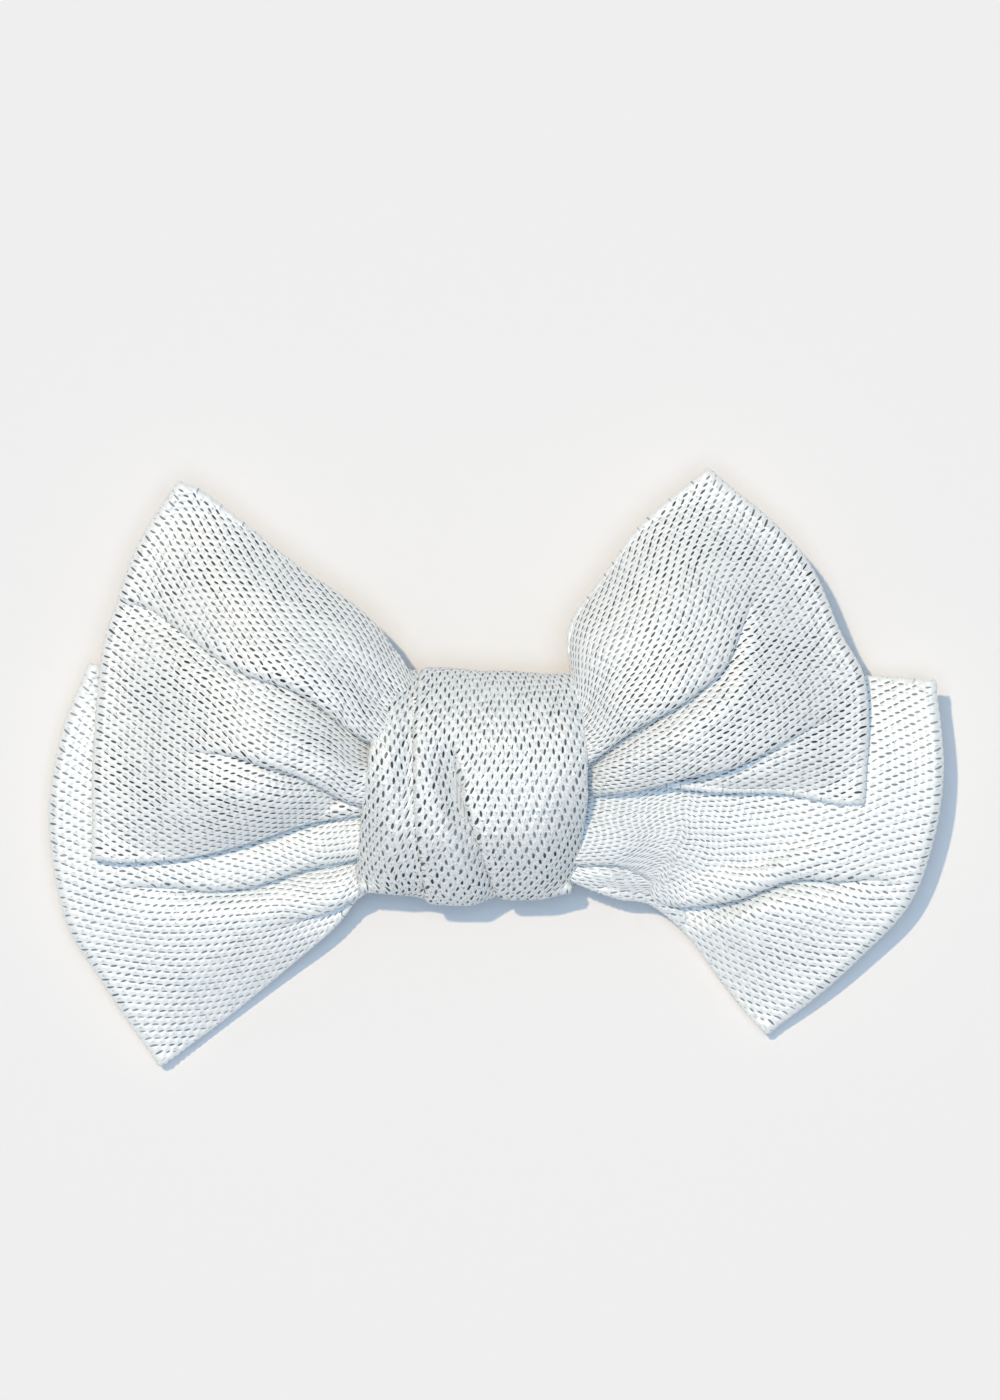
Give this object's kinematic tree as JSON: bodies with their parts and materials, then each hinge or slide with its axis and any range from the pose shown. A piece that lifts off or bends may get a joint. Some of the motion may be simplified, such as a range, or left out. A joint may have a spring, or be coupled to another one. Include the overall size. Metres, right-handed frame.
{
  "type": "gift bow",
  "caption": "Two-layer bow of silvery metallic knit with a wide wrapped knot and a spring clip behind it.",
  "frame": {"origin": "under the middle of the bow's bounding box, on the surface that it lies on", "axes": "+X from wing to wing, +Y towards the upper bow's raised corners, +Z out of the bow's front"},
  "size_m": [0.1505, 0.101, 0.0295],
  "materials": {
    "metallic_knit": "metallic knit",
    "thread": "matte",
    "felt": "matte",
    "glue": "satin",
    "clip_steel": "plated",
    "spring_steel": "drawn wire"
  },
  "bodies": {
    "bow": {"back_bow_band": "metallic_knit", "front_bow_band": "metallic_knit", "knot_wrap": "metallic_knit", "back_gather_thread": "thread", "front_gather_thread": "thread", "joining_thread": "thread", "back_lap_stitches": "thread", "front_lap_stitches": "thread", "wrap_closing_stitches": "thread", "felt_backing_pad": "felt", "glue_bead": "glue", "clip_upper_arm": "clip_steel", "clip_pivot_pin": "clip_steel", "clip_torsion_spring": "spring_steel"},
    "jaw": {"clip_lower_jaw": "clip_steel"}
  },
  "joints": [
    {"name": "clip_hinge", "type": "hinge", "parent": "bow", "child": "jaw", "pos_m": [0.006, 0, 0.0045], "axis": [0, -1, 0], "range_deg": [0, 20], "stiffness_Nm_per_rad": 0.05, "springref_deg": -34.38, "deforming": ["clip_torsion_spring"]}
  ]
}
